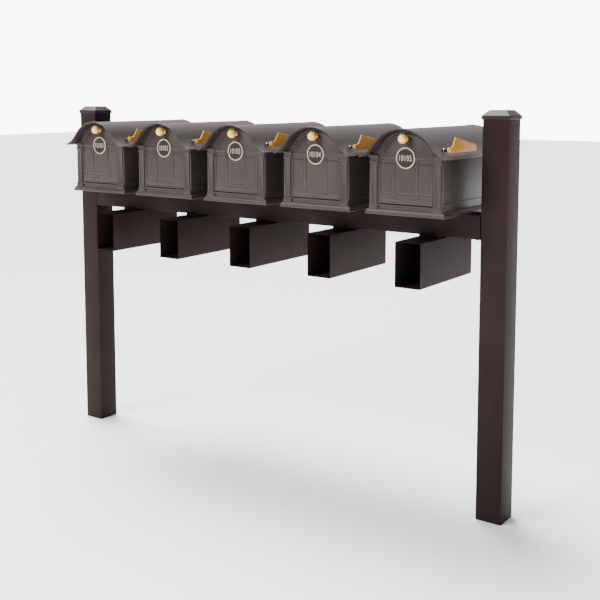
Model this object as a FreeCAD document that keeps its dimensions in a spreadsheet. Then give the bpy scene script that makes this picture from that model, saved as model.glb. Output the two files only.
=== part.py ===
import FreeCAD, Part
import math
import os
import Sketcher

# Cluster mailbox unit: five identical mailboxes on one crossbeam between two posts,
# with a newspaper tube under each. Millimetres, +Z up, +X to the right, front towards -Y.
# The origin is on the ground, at the middle of the unit's length and depth.

doc = FreeCAD.newDocument("ClusterMailboxUnit")
sheet = doc.addObject("Spreadsheet::Sheet", "Sizes")

drivingSizes = {
    # posts and caps
    "postWidth": 101.6, "postWall": 3.2, "postHeight": 1498, "endGap": 64.2,
    "capOverhang": 4, "capSkirt": 14, "capPlate": 2, "capRise": 17.6, "capInset": 20.8, "capPlay": 0.3,
    # crossbeam and its end brackets
    "beamHeight": 88.9, "beamDepth": 101.6, "beamWall": 3.2, "beamClear": 1050, "beamSetback": 25,
    "bracketPlate": 3, "bracketTab": 40, "bracketWidth": 76, "bracketPlay": 0.2,
    # mailbox body, base and roof
    "boxWidth": 298, "boxDepth": 528, "boxGap": 90, "sideWall": 3,
    "ribRise": 46, "ribHeight": 6, "ribProud": 2,
    "plateThickness": 6, "plateWidth": 240, "plateDepth": 300,
    "baseFloor": 4, "baseHeight": 20, "baseBand": 12, "baseProud": 12, "baseTaper": 6, "baseLip": 6,
    "roofSpring": 176, "roofInset": 10, "roofWall": 5, "flareRadius": 139, "flareAngle": 53.8,
    "eaveOverhang": 23, "roofFront": 42, "roofRear": 16, "fitGap": 0.3,
    # front frame and door
    "frameThickness": 6, "jambWidth": 39, "archBand": 12, "sillHeight": 18, "sillProud": 2,
    "pilasterInset": 3, "pilasterProud": 4, "capitalHeight": 30, "capitalProud": 7, "rearThickness": 4,
    "doorThickness": 5, "doorGap": 1.2, "barrelRadius": 4.5, "sillGap": 1.5,
    "panelDepth": 1.5, "panelMargin": 8, "panelRise": 28, "panelRail": 9,
    "pinRadius": 2, "pinReach": 15, "pinPlay": 0.06,
    "magnetWidth": 24, "magnetHeight": 16, "magnetDepth": 8, "magnetGap": 0.5,
    # knob, number plaque and flag
    "knobRadius": 17.5, "knobReach": 42, "knobDrop": 20, "knobStud": 3, "knobNeck": 6, "knobFoot": 10,
    "footHeight": 3, "nutHeight": 4, "nutRadius": 6,
    "plaqueRadius": 38.5, "plaqueThickness": 4, "plaqueRim": 4.5, "plaqueRecess": 1, "plaqueDrop": 70,
    "flagLength": 221, "flagRise": 44.5, "flagHub": 10, "flagThickness": 4, "flagStandoff": 3, "flagLift": 17,
    "flagShoulder": 13, "flagNeck": 28, "flagLean": 19, "flagToe": 6, "flagTipRise": 8,
    "flagTipBack": 14, "flagTipDrop": 29,
    "flagSetback": 30, "flagPlay": 0.3, "pivotRadius": 3, "pivotHead": 6, "pivotHeadHeight": 3,
    "pivotCollar": 5, "pivotInside": 16,
    # newspaper tubes
    "tubeWidth": 105.6, "tubeHeight": 168.4, "tubeLength": 424, "tubeWall": 2.5, "tubeReach": 154.2,
    "tubePad": 10, "padWidth": 80, "padDepth": 90,
    # pan-head screws
    "screwRadius": 3, "screwHead": 6, "screwHeadHeight": 3.5, "screwLength": 18, "screwPlay": 0.2,
    "floorScrewX": 90, "floorScrewY": 35, "tubeScrewY": 28,
    "tabScrewY": 22, "tabScrewX": 24, "plateScrewZ": 24,
}

for row, (name, number) in enumerate(drivingSizes.items(), start=1):
    sheet.set(f"A{row}", name)
    sheet.set(f"B{row}", str(number))
    sheet.setAlias(f"B{row}", name)
doc.recompute()

boxCount = 5  # mailboxes along the beam
finishedPieces = []


class Size:
    """A length that carries its value and the expression that ties it to the sheet."""

    def __init__(self, number, text):
        self.number = number
        self.text = text

    def __add__(self, other):
        return combine(self, "+", other)

    def __radd__(self, other):
        return combine(other, "+", self)

    def __sub__(self, other):
        return combine(self, "-", other)

    def __rsub__(self, other):
        return combine(other, "-", self)

    def __mul__(self, other):
        return combine(self, "*", other)

    def __rmul__(self, other):
        return combine(other, "*", self)

    def __truediv__(self, other):
        return combine(self, "/", other)

    def __neg__(self):
        return combine(0, "-", self)


def asSize(item):
    if isinstance(item, Size):
        return item
    return Size(float(item), f"({float(item)})")


def combine(left, sign, right):
    left = asSize(left)
    right = asSize(right)
    numbers = {
        "+": left.number + right.number,
        "-": left.number - right.number,
        "*": left.number * right.number,
        "/": left.number / right.number if right.number else 0.0,
    }
    return Size(numbers[sign], f"({left.text} {sign} {right.text})")


def sine(degrees):
    return Size(math.sin(math.radians(degrees.number)), f"sin({degrees.text} * 1 deg)")


def cosine(degrees):
    return Size(math.cos(math.radians(degrees.number)), f"cos({degrees.text} * 1 deg)")


def root(size):
    return Size(math.sqrt(size.number), f"sqrt({size.text})")


class Given:
    """The sheet's cells as sizes, by alias."""

    def __getattr__(self, alias):
        return Size(float(sheet.get(alias)), f"Sizes.{alias}")


given = Given()


# Building helpers

def bind(item, path, size):
    item.setExpression(path, asSize(size).text)


def setPlace(item, x, y, z):
    bind(item, "Placement.Base.x", x)
    bind(item, "Placement.Base.y", y)
    bind(item, "Placement.Base.z", z)


def block(name, low, high):
    item = doc.addObject("Part::Box", name)
    bind(item, "Length", high[0] - low[0])
    bind(item, "Width", high[1] - low[1])
    bind(item, "Height", high[2] - low[2])
    setPlace(item, *low)
    return item


def rod(name, start, axis, radius, length):
    turns = {
        "X": FreeCAD.Rotation(FreeCAD.Vector(0, 1, 0), 90),
        "Y": FreeCAD.Rotation(FreeCAD.Vector(1, 0, 0), -90),
        "Z": FreeCAD.Rotation(),
    }
    item = doc.addObject("Part::Cylinder", name)
    item.Placement = FreeCAD.Placement(FreeCAD.Vector(), turns[axis])
    bind(item, "Radius", radius)
    bind(item, "Height", length)
    setPlace(item, *start)
    return item


def frustum(name, low, high, inset):
    """A block whose four sides lean in by inset at the top."""
    item = doc.addObject("Part::Wedge", name)
    item.Placement = FreeCAD.Placement(FreeCAD.Vector(), FreeCAD.Rotation(FreeCAD.Vector(1, 0, 0), 90))
    length = high[0] - low[0]
    depth = high[1] - low[1]
    bind(item, "Xmin", 0)
    bind(item, "Zmin", 0)
    bind(item, "Ymin", 0)
    bind(item, "Xmax", length)
    bind(item, "Zmax", depth)
    bind(item, "Ymax", high[2] - low[2])
    bind(item, "X2min", inset)
    bind(item, "Z2min", inset)
    bind(item, "X2max", length - inset)
    bind(item, "Z2max", depth - inset)
    setPlace(item, low[0], high[1], low[2])
    return item


def fuse(name, *items):
    item = doc.addObject("Part::MultiFuse", name)
    item.Shapes = list(items)
    return item


def cut(name, base, *tools):
    item = doc.addObject("Part::Cut", name)
    item.Base = base
    item.Tool = tools[0] if len(tools) == 1 else fuse(name + "Tools", *tools)
    return item


def gather(name, items):
    """Separate solids kept as one group."""
    item = doc.addObject("Part::Compound", name)
    item.Links = list(items)
    return item


def finish(item, label, x=0, y=0, z=0):
    item.Label = label
    setPlace(item, x, y, z)
    finishedPieces.append(item)


def newSketch(body, plane, offset):
    sketch = body.newObject("Sketcher::SketchObject", "Sketch")
    face = next(part for part in body.Origin.OriginFeatures if part.Role == plane)
    sketch.AttachmentSupport = [(face, "")]
    sketch.MapMode = "FlatFace"
    bind(sketch, "AttachmentOffset.Base.z", offset)
    return sketch


def outline(sketch, corners):
    """A closed outline. Each corner is (across, up, bend), where bend is None for a straight edge
    to the next corner, or (centre across, centre up, radius, turn) with turn +1 anticlockwise."""
    count = len(corners)
    ends = []
    for index, (across, up, bend) in enumerate(corners):
        nextAcross, nextUp, _ = corners[(index + 1) % count]
        start = FreeCAD.Vector(across.number, up.number, 0)
        stop = FreeCAD.Vector(nextAcross.number, nextUp.number, 0)
        if bend is None:
            edge = sketch.addGeometry(Part.LineSegment(start, stop), False)
            ends.append((edge, 1, 2))
            continue
        centre = FreeCAD.Vector(bend[0].number, bend[1].number, 0)
        circle = Part.Circle(centre, FreeCAD.Vector(0, 0, 1), bend[2].number)
        first = math.atan2(start.y - centre.y, start.x - centre.x)
        last = math.atan2(stop.y - centre.y, stop.x - centre.x)
        if bend[3] < 0:
            first, last = last, first
        edge = sketch.addGeometry(Part.ArcOfCircle(circle, first, last), False)
        ends.append((edge, 1, 2) if bend[3] > 0 else (edge, 2, 1))
        if abs(start.distanceToPoint(stop) - bend[2].number * 2) > 0.001:
            hold = sketch.addConstraint(Sketcher.Constraint("Radius", edge, bend[2].number))
            bind(sketch, f"Constraints[{hold}]", bend[2])
            continue
        # A half circle between two fixed ends needs its centre held, not its radius.
        kind, size = ("DistanceY", bend[1]) if abs(start.y - stop.y) < 0.001 else ("DistanceX", bend[0])
        hold = sketch.addConstraint(Sketcher.Constraint(kind, -1, 1, edge, 3, size.number))
        bind(sketch, f"Constraints[{hold}]", size)
    for index, (across, up, _) in enumerate(corners):
        edge, head, _ = ends[index]
        before, _, tail = ends[index - 1]
        sketch.addConstraint(Sketcher.Constraint("Coincident", before, tail, edge, head))
        for kind, size in (("DistanceX", across), ("DistanceY", up)):
            pin = sketch.addConstraint(Sketcher.Constraint(kind, -1, 1, edge, head, size.number))
            bind(sketch, f"Constraints[{pin}]", size)


def straight(points):
    return [(asSize(across), asSize(up), None) for across, up in points]


def pad(body, sketch, length):
    feature = body.newObject("PartDesign::Pad", "Pad")
    feature.Profile = sketch
    bind(feature, "Length", length)
    body.Tip = feature


def newBody(name):
    return doc.addObject("PartDesign::Body", name)


# Sizes that several pieces share

beamTop = given.beamClear + given.beamHeight
beamMiddle = -given.beamSetback
boxPitch = given.boxWidth + given.boxGap
postCentre = boxPitch * ((boxCount - 1) / 2) + given.boxWidth / 2 + given.endGap + given.postWidth / 2
postFace = postCentre - given.postWidth / 2
beamEnd = postFace - given.bracketPlate

# Across and up are measured in each mailbox's own frame: its centre line, and the beam's top.
boxSide = given.boxWidth / 2
roofLength = given.boxDepth + given.roofFront + given.roofRear
roofEdge = -roofLength / 2
boxFront = roofEdge + given.roofFront
boxBack = boxFront + given.boxDepth
floorTop = given.plateThickness + given.baseFloor
roofRadius = boxSide - given.roofInset
roofApex = given.roofSpring + roofRadius
flareReach = roofRadius + given.flareRadius
flareAcross = flareReach * sine(given.flareAngle)
flareUp = given.roofSpring + flareReach * cosine(given.flareAngle)
eaveTip = boxSide + given.eaveOverhang

openingHalf = boxSide - given.jambWidth
openingApex = roofApex - given.roofWall - given.archBand
openingSpring = openingApex - openingHalf
sillTop = given.baseHeight + given.sillHeight
frameBack = boxFront + given.frameThickness
hingeY = boxFront + given.doorThickness / 2
hingeZ = sillTop + given.sillGap + given.barrelRadius
doorHalf = openingHalf - given.doorGap
knobZ = openingApex - given.knobDrop
plaqueZ = knobZ - given.plaqueDrop

flagInner = boxSide + given.flagStandoff
flagY = boxFront + given.flagSetback
screwHole = given.screwRadius + given.screwPlay


def boxCentre(index):
    return boxPitch * (index - (boxCount - 1) / 2)


def slopeHeight(inset, across):
    """How high the flared slope stands at a distance across, inset below the outer skin."""
    radius = given.flareRadius + inset
    return flareUp - root(radius * radius - (flareAcross - across) * (flareAcross - across))


def slopeAcross(height):
    """How far out the flared slope's outer skin is at a height."""
    return flareAcross - root(given.flareRadius * given.flareRadius - (flareUp - height) * (flareUp - height))


flagZ = slopeHeight(0, flagInner) + given.flagLift
skinAtFlag = slopeAcross(flagZ)


def roofLine(inset, across, leftwards=True):
    """The roof's curve, inset below its outer skin, from one side at a distance across to the other."""
    radius = roofRadius - inset
    flare = given.flareRadius + inset
    jointAcross = radius * sine(given.flareAngle)
    jointUp = given.roofSpring + radius * cosine(given.flareAngle)
    endUp = slopeHeight(inset, across)
    side = 1 if leftwards else -1
    turn = 1 if leftwards else -1
    return [
        (asSize(across) * side, endUp, (flareAcross * side, flareUp, flare, -turn)),
        (jointAcross * side, jointUp, (asSize(0), given.roofSpring, radius, turn)),
        (jointAcross * -side, jointUp, (flareAcross * -side, flareUp, flare, -turn)),
        (asSize(across) * -side, endUp, None),
    ]


# Posts and caps

def makePost(side, label):
    half = given.postWidth / 2
    hollow = half - given.postWall
    outer = block("PostOuter", (-half, -half, asSize(0)), (half, half, given.postHeight))
    inner = block("PostHollow", (-hollow, -hollow, asSize(0)), (hollow, hollow, given.postHeight))
    wallStart = -half if side > 0 else hollow
    holes = [
        rod("PostHole", (wallStart, asSize(0), beamTop - given.beamHeight / 2 + rise), "X",
            screwHole, given.postWall)
        for rise in (given.plateScrewZ, -given.plateScrewZ)
    ]
    finish(cut("Post", outer, inner, *holes), label, x=postCentre * side, y=beamMiddle)


def makeCap(side, label):
    half = given.postWidth / 2 + given.capOverhang
    socket = given.postWidth / 2 + given.capPlay
    low = -given.capSkirt
    skirt = block("CapSkirt", (-half, -half, low), (half, half, given.capPlate))
    crown = frustum(
        "CapCrown", (-half, -half, given.capPlate),
        (half, half, given.capPlate + given.capRise), given.capInset)
    room = block("CapSocket", (-socket, -socket, low), (socket, socket, asSize(0)))
    finish(cut("Cap", fuse("CapOuter", skirt, crown), room), label,
           x=postCentre * side, y=beamMiddle, z=given.postHeight)


# Crossbeam, held at each end by a folded bracket

def screwPlaces():
    """Every pan-head screw: the point under its head, its axis, and which way its shank points."""
    places = []
    for index in range(boxCount):
        for across in (given.floorScrewX, -given.floorScrewX):
            for along in (given.floorScrewY, -given.floorScrewY):
                point = (boxCentre(index) + across, beamMiddle + along, beamTop + floorTop)
                places.append((point, "Z", -1))
        for along in (given.tubeScrewY, -given.tubeScrewY):
            point = (boxCentre(index), beamMiddle + along, given.beamClear - given.tubePad - given.tubeWall)
            places.append((point, "Z", 1))
    tabFace = given.bracketPlate + given.bracketPlay
    for side in (1, -1):
        for along in (given.tabScrewY, -given.tabScrewY):
            across = (postFace - given.tabScrewX) * side
            places.append(((across, beamMiddle + along, beamTop + tabFace), "Z", -1))
            places.append(((across, beamMiddle + along, given.beamClear - tabFace), "Z", 1))
        for rise in (given.plateScrewZ, -given.plateScrewZ):
            point = (beamEnd * side, beamMiddle, given.beamClear + given.beamHeight / 2 + rise)
            places.append((point, "X", side))
    return places


def shiftAlong(point, axis, distance):
    x, y, z = point
    if axis == "X":
        return (x + distance, y, z)
    return (x, y, z + distance)


def screwHoles(places):
    """Clearance holes along each screw's shank."""
    return [
        rod("ScrewHole", point if way > 0 else shiftAlong(point, axis, -given.screwLength),
            axis, screwHole, given.screwLength)
        for point, axis, way in places
    ]


def makeScrews():
    screws = []
    for point, axis, way in screwPlaces():
        headStart = shiftAlong(point, axis, -given.screwHeadHeight) if way > 0 else point
        shankStart = point if way > 0 else shiftAlong(point, axis, -given.screwLength)
        head = rod("ScrewHead", headStart, axis, given.screwHead, given.screwHeadHeight)
        shank = rod("ScrewShank", shankStart, axis, given.screwRadius, given.screwLength)
        screws.append(fuse("Screw", head, shank))
    finish(gather("Screws", screws), "pan_head_screws")


def makeBeam():
    halfDepth = given.beamDepth / 2
    hollow = halfDepth - given.beamWall
    low = given.beamClear
    outer = block("BeamOuter", (-beamEnd, beamMiddle - halfDepth, low),
                  (beamEnd, beamMiddle + halfDepth, beamTop))
    inner = block("BeamHollow", (-beamEnd, beamMiddle - hollow, low + given.beamWall),
                  (beamEnd, beamMiddle + hollow, beamTop - given.beamWall))
    upright = [place for place in screwPlaces() if place[1] == "Z"]
    finish(cut("Beam", outer, inner, *screwHoles(upright)), "crossbeam")


def makeBracket(side, label):
    half = given.bracketWidth / 2
    reach = given.bracketPlate + given.bracketTab
    tabFace = given.bracketPlate + given.bracketPlay
    near, far = sorted((postFace * side, (postFace - reach) * side), key=lambda size: size.number)
    mouthNear, mouthFar = sorted((beamEnd * side, (postFace - reach) * side), key=lambda size: size.number)
    outer = block("BracketOuter", (near, beamMiddle - half, given.beamClear - tabFace),
                  (far, beamMiddle + half, beamTop + tabFace))
    mouth = block("BracketMouth", (mouthNear, beamMiddle - half, given.beamClear - given.bracketPlay),
                  (mouthFar, beamMiddle + half, beamTop + given.bracketPlay))
    sideways = [place for place in screwPlaces()
                if abs(place[0][0].number) > postFace.number - reach.number and place[0][0].number * side > 0]
    finish(cut("Bracket", outer, mouth, *screwHoles(sideways)), label)


# Mailbox base, plate, housing and rear panel

def floorHoles(middle, low, height):
    """The four screw holes that a mailbox's floor and its plate share."""
    return [
        rod("FloorHole", (middle + across, beamMiddle + along, low), "Z", screwHole, height)
        for across in (given.floorScrewX, -given.floorScrewX)
        for along in (given.floorScrewY, -given.floorScrewY)
    ]


def makePlates():
    plates = []
    for index in range(boxCount):
        across = given.plateWidth / 2
        along = given.plateDepth / 2
        blank = block("Plate", (boxCentre(index) - across, beamMiddle - along, beamTop),
                      (boxCentre(index) + across, beamMiddle + along, beamTop + given.plateThickness))
        holes = floorHoles(boxCentre(index), beamTop, given.plateThickness)
        plates.append(cut("MountingPlate", blank, *holes))
    finish(gather("MountingPlates", plates), "mounting_plates")


def makeBase(index):
    side = boxSide + given.baseProud
    front = boxFront - given.baseProud
    back = boxBack + given.baseProud
    seat = boxSide + given.fitGap
    under = side - given.baseLip
    band = block("BaseBand", (-side, front, asSize(0)), (side, back, given.baseBand))
    slope = frustum("BaseSlope", (-side, front, given.baseBand),
                    (side, back, given.baseHeight), given.baseTaper)
    room = block("BaseRoom", (-seat, boxFront - given.fitGap, floorTop),
                 (seat, boxBack + given.fitGap, given.baseHeight))
    hollow = block("BaseHollow", (-under, front + given.baseLip, asSize(0)),
                   (under, back - given.baseLip, given.plateThickness))
    holes = floorHoles(0, given.plateThickness, given.baseFloor)
    outer = fuse("BaseOuter", band, slope)
    finish(cut("Base", outer, room, hollow, *holes), f"base_{index + 1}", x=boxCentre(index), z=beamTop)


def makeHousing(index):
    body = newBody("HousingShell")
    shell = newSketch(body, "XZ_Plane", roofEdge)
    outline(shell, roofLine(0, eaveTip) + roofLine(given.roofWall, eaveTip, leftwards=False))
    pad(body, shell, roofLength)
    inner = boxSide - given.sideWall
    wallTop = slopeHeight(0, boxSide) - given.roofWall / 2
    ribTop = given.ribRise + given.ribHeight
    rib = boxSide + given.ribProud
    profile = [
        (inner, floorTop), (boxSide, floorTop), (boxSide, given.ribRise), (rib, given.ribRise),
        (rib, ribTop), (boxSide, ribTop), (boxSide, wallTop), (inner, wallTop),
    ]
    walls = newSketch(body, "XZ_Plane", -boxBack)
    outline(walls, straight(profile))
    outline(walls, straight([(-across, up) for across, up in reversed(profile)]))
    pad(body, walls, boxBack - frameBack)
    pivotHole = rod("PivotHole", (skinAtFlag - given.pivotInside, flagY, flagZ), "X",
                    given.pivotRadius + given.pinPlay, given.pivotInside * 2)
    finish(cut("Housing", body, pivotHole), f"housing_{index + 1}", x=boxCentre(index), z=beamTop)


def makeRearPanel(index):
    body = newBody("RearPanel")
    side = boxSide - given.sideWall - given.fitGap
    sketch = newSketch(body, "XZ_Plane", -boxBack)
    edge = roofLine(given.roofWall + given.fitGap, side)
    outline(sketch, straight([(-side, floorTop), (side, floorTop)]) + edge)
    pad(body, sketch, given.rearThickness)
    finish(body, f"rear_panel_{index + 1}", x=boxCentre(index), z=beamTop)


# Front frame, door and hinge

def archedOutline(half, spring, low):
    """A doorway shape: straight sides under a half-round head."""
    return straight([(-half, low), (half, low)]) + [
        (half, spring, (asSize(0), spring, half, 1)),
        (-half, spring, None),
    ]


def pinHoles(radius):
    """Holes for both hinge pins, half in the door's barrel and half in the frame."""
    reach = given.pinReach
    return [
        rod("PinHole", (middle - reach, hingeY, hingeZ), "X", radius, reach * 2)
        for middle in (openingHalf, -openingHalf)
    ]


def makeFrame(index):
    body = newBody("FramePlate")
    sketch = newSketch(body, "XZ_Plane", -frameBack)
    edge = roofLine(given.roofWall + given.fitGap, boxSide)
    outline(sketch, straight([(-boxSide, floorTop), (boxSide, floorTop)]) + edge)
    outline(sketch, archedOutline(openingHalf, openingSpring, sillTop))
    pad(body, sketch, given.frameThickness)
    sill = block("Sill", (-boxSide, boxFront - given.sillProud, given.baseHeight), (boxSide, boxFront, sillTop))
    trims = [sill]
    capitalHigh = slopeHeight(given.roofWall + given.fitGap, boxSide) - given.fitGap
    capitalLow = capitalHigh - given.capitalHeight
    for side in (1, -1):
        edges = (openingHalf * side, boxSide * side)
        near, far = sorted(edges, key=lambda size: size.number)
        inset = given.pilasterInset
        trims.append(block("Pilaster", (near + inset, boxFront - given.pilasterProud, given.baseHeight),
                           (far - inset, boxFront, capitalLow)))
        trims.append(block("Capital", (near, boxFront - given.capitalProud, capitalLow),
                           (far, boxFront, capitalHigh)))
    outer = fuse("FrameOuter", body, *trims)
    holes = pinHoles(given.pinRadius + given.pinPlay)
    finish(cut("Frame", outer, *holes), f"front_frame_{index + 1}", x=boxCentre(index), z=beamTop)


def makeDoor(index):
    body = newBody("DoorPlate")
    sketch = newSketch(body, "XZ_Plane", -(boxFront + given.doorThickness))
    outline(sketch, archedOutline(doorHalf, openingSpring, hingeZ))
    pad(body, sketch, given.doorThickness)
    barrel = rod("DoorBarrel", (-doorHalf, hingeY, hingeZ), "X", given.barrelRadius, doorHalf * 2)
    low = hingeZ + given.panelRise
    high = openingSpring + given.panelRail
    floor = boxFront + given.panelDepth
    width = (doorHalf * 2 - given.panelMargin * 2 - given.panelRail * 2) / 3
    panels = [
        block("DoorPanel", (left, boxFront - given.sillProud, low), (left + width, floor, high))
        for left in [given.panelMargin - doorHalf + (width + given.panelRail) * step for step in range(3)]
    ]
    stud = rod("KnobHole", (asSize(0), boxFront, knobZ), "Y", given.knobStud + given.pinPlay, given.doorThickness)
    outer = fuse("DoorOuter", body, barrel)
    holes = pinHoles(given.pinRadius + given.pinPlay)
    finish(cut("Door", outer, stud, *panels, *holes), f"door_{index + 1}", x=boxCentre(index), z=beamTop)


def makeHingePins():
    pins = [
        rod("HingePin", (boxCentre(index) + middle - given.pinReach + given.pinPlay, hingeY, beamTop + hingeZ),
            "X", given.pinRadius, (given.pinReach - given.pinPlay) * 2)
        for index in range(boxCount)
        for middle in (openingHalf, -openingHalf)
    ]
    finish(gather("HingePins", pins), "door_hinge_pins")


def makeMagnets():
    half = given.magnetWidth / 2
    low = openingApex - given.magnetHeight / 2
    magnets = [
        block("Magnet", (boxCentre(index) - half, frameBack, beamTop + low),
              (boxCentre(index) + half, frameBack + given.magnetDepth, beamTop + low + given.magnetHeight))
        for index in range(boxCount)
    ]
    finish(gather("Magnets", magnets), "door_magnets")


# Knob, number plaque and flag

def makeKnob(index):
    front = boxFront - given.knobReach
    centreY = front + given.knobRadius
    ball = doc.addObject("Part::Sphere", "KnobBall")
    bind(ball, "Radius", given.knobRadius)
    setPlace(ball, asSize(0), centreY, knobZ)
    neck = rod("KnobNeck", (asSize(0), centreY, knobZ), "Y", given.knobNeck, boxFront - centreY)
    foot = rod("KnobFoot", (asSize(0), boxFront - given.footHeight, knobZ), "Y",
               given.knobFoot, given.footHeight)
    doorBack = boxFront + given.doorThickness
    stud = rod("KnobStud", (asSize(0), boxFront - given.footHeight, knobZ), "Y", given.knobStud,
               given.footHeight + given.doorThickness + given.nutHeight)
    nut = rod("KnobNut", (asSize(0), doorBack, knobZ), "Y", given.nutRadius, given.nutHeight)
    finish(fuse("Knob", ball, neck, foot, stud, nut), f"knob_{index + 1}", x=boxCentre(index), z=beamTop)


def makePlaque(index):
    front = boxFront - given.plaqueThickness
    disc = rod("PlaqueDisc", (asSize(0), front, plaqueZ), "Y", given.plaqueRadius, given.plaqueThickness)
    field = rod("PlaqueField", (asSize(0), front, plaqueZ), "Y",
                given.plaqueRadius - given.plaqueRim, given.plaqueRecess)
    finish(cut("Plaque", disc, field), f"number_plaque_{index + 1}", x=boxCentre(index), z=beamTop)


def makeFlag(index):
    body = newBody("FlagBlade")
    sketch = newSketch(body, "YZ_Plane", flagInner + given.flagPlay)
    hub = given.flagHub
    tall = given.flagRise
    reach = given.flagLength
    shoulder = given.flagShoulder
    blade = given.flagNeck
    outline(sketch, [
        (flagY, flagZ - hub, None),
        (flagY + reach - given.flagToe, flagZ - hub, None),
        (flagY + reach, flagZ - hub + given.flagToe, None),
        (flagY + reach, flagZ + given.flagTipRise, None),
        (flagY + reach - given.flagTipBack, flagZ + tall - given.flagTipDrop, None),
        (flagY + blade + given.flagLean, flagZ + tall, None),
        (flagY + blade, flagZ + shoulder, None),
        (flagY + hub, flagZ + hub, None),
        (flagY, flagZ + hub, (flagY, flagZ, hub, 1)),
    ])
    pad(body, sketch, given.flagThickness)
    bore = rod("FlagBore", (flagInner, flagY, flagZ), "X", given.pivotRadius + given.pinPlay,
               given.flagThickness + given.flagPlay * 2)
    finish(cut("Flag", body, bore), f"flag_{index + 1}", x=boxCentre(index), z=beamTop)


def makeFlagPivots():
    pivots = []
    inside = skinAtFlag - given.pivotInside
    outside = flagInner + given.flagThickness + given.flagPlay * 2
    collarStart = slopeAcross(flagZ - given.pivotCollar) + given.fitGap
    for index in range(boxCount):
        middle = boxCentre(index)
        height = beamTop + flagZ
        shank = rod("PivotShank", (middle + inside, flagY, height), "X", given.pivotRadius, outside - inside)
        collar = rod("PivotCollar", (middle + collarStart, flagY, height), "X",
                     given.pivotCollar, flagInner - collarStart)
        head = rod("PivotHead", (middle + outside, flagY, height), "X",
                   given.pivotHead, given.pivotHeadHeight)
        pivots.append(fuse("Pivot", shank, collar, head))
    finish(gather("FlagPivots", pivots), "flag_pivot_screws")


# Newspaper tubes

def makeTube(index):
    half = given.tubeWidth / 2
    top = given.beamClear - given.tubePad
    low = top - given.tubeHeight
    front = beamMiddle - given.beamDepth / 2 - given.tubeReach
    back = front + given.tubeLength
    wall = given.tubeWall
    outer = block("TubeOuter", (-half, front, low), (half, back, top))
    room = block("TubeRoom", (wall - half, front, low + wall), (half - wall, back - wall, top - wall))
    padHalf = given.padWidth / 2
    padAlong = given.padDepth / 2
    seat = block("TubePad", (-padHalf, beamMiddle - padAlong, top),
                 (padHalf, beamMiddle + padAlong, given.beamClear))
    holes = [
        rod("TubeHole", (asSize(0), beamMiddle + along, top - wall), "Z", screwHole, wall + given.tubePad)
        for along in (given.tubeScrewY, -given.tubeScrewY)
    ]
    finish(cut("Tube", fuse("TubeSolid", outer, seat), room, *holes), f"newspaper_tube_{index + 1}",
           x=boxCentre(index))


makePost(-1, "left_post")
makePost(1, "right_post")
makeCap(-1, "left_post_cap")
makeCap(1, "right_post_cap")
makeBeam()
makeBracket(-1, "left_beam_bracket")
makeBracket(1, "right_beam_bracket")
makePlates()
makeScrews()
makeHingePins()
makeMagnets()
makeFlagPivots()
for boxIndex in range(boxCount):
    makeBase(boxIndex)
    makeHousing(boxIndex)
    makeRearPanel(boxIndex)
    makeFrame(boxIndex)
    makeDoor(boxIndex)
    makeKnob(boxIndex)
    makePlaque(boxIndex)
    makeFlag(boxIndex)
    makeTube(boxIndex)

doc.recompute()

failed = [item.Label for item in doc.Objects if "Invalid" in item.State or "Error" in item.State]
for piece in finishedPieces:
    if piece.Shape.isNull() or not piece.Shape.isValid() or not piece.Shape.Solids:
        failed.append(piece.Label)
if failed:
    raise RuntimeError("not built: " + ", ".join(failed))

os.makedirs("parts", exist_ok=True)
for piece in finishedPieces:
    piece.Shape.exportStep(f"parts/{piece.Label}.step")
print(f"{len(finishedPieces)} sub-parts written")
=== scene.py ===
import math

import bmesh
import bpy
from mathutils import Matrix, Vector


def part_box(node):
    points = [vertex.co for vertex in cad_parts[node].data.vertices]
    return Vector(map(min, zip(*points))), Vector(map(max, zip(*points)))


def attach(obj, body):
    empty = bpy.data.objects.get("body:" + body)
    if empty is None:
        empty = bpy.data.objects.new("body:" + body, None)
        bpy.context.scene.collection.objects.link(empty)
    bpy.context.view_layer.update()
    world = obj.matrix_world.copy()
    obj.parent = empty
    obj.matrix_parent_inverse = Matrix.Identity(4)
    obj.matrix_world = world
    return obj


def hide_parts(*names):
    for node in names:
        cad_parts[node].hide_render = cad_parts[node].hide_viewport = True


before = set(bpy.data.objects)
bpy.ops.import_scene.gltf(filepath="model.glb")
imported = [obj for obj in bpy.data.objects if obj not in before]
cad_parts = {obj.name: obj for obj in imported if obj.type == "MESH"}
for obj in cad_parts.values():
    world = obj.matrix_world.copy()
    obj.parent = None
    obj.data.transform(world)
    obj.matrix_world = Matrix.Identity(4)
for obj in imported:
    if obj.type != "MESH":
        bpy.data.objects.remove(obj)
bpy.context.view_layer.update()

boxNumbers = range(1, 6)
sharpAngle = math.radians(24)


# mesh helpers: every lump is a bmesh of its own, and a piece joins its lumps

def sharpEdges(bm, angle=math.radians(30)):
    return [e for e in bm.edges if len(e.link_faces) == 2 and e.calc_face_angle(0) > angle]


def soften(bm, width, segments=2, edges=None):
    chosen = sharpEdges(bm) if edges is None else edges
    bmesh.ops.bevel(bm, geom=chosen, offset=width, offset_type="OFFSET", segments=segments,
                    profile=0.5, affect="EDGES", material=-1, clamp_overlap=True)
    return bm


def block(low, high, width=0.0006, segments=2):
    bm = bmesh.new()
    low, high = Vector(low), Vector(high)
    place = Matrix.Translation((low + high) / 2) @ Matrix.Diagonal((high - low).to_4d())
    bmesh.ops.create_cube(bm, size=1.0, matrix=place)
    if width:
        soften(bm, width, segments)
    return bm


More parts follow.
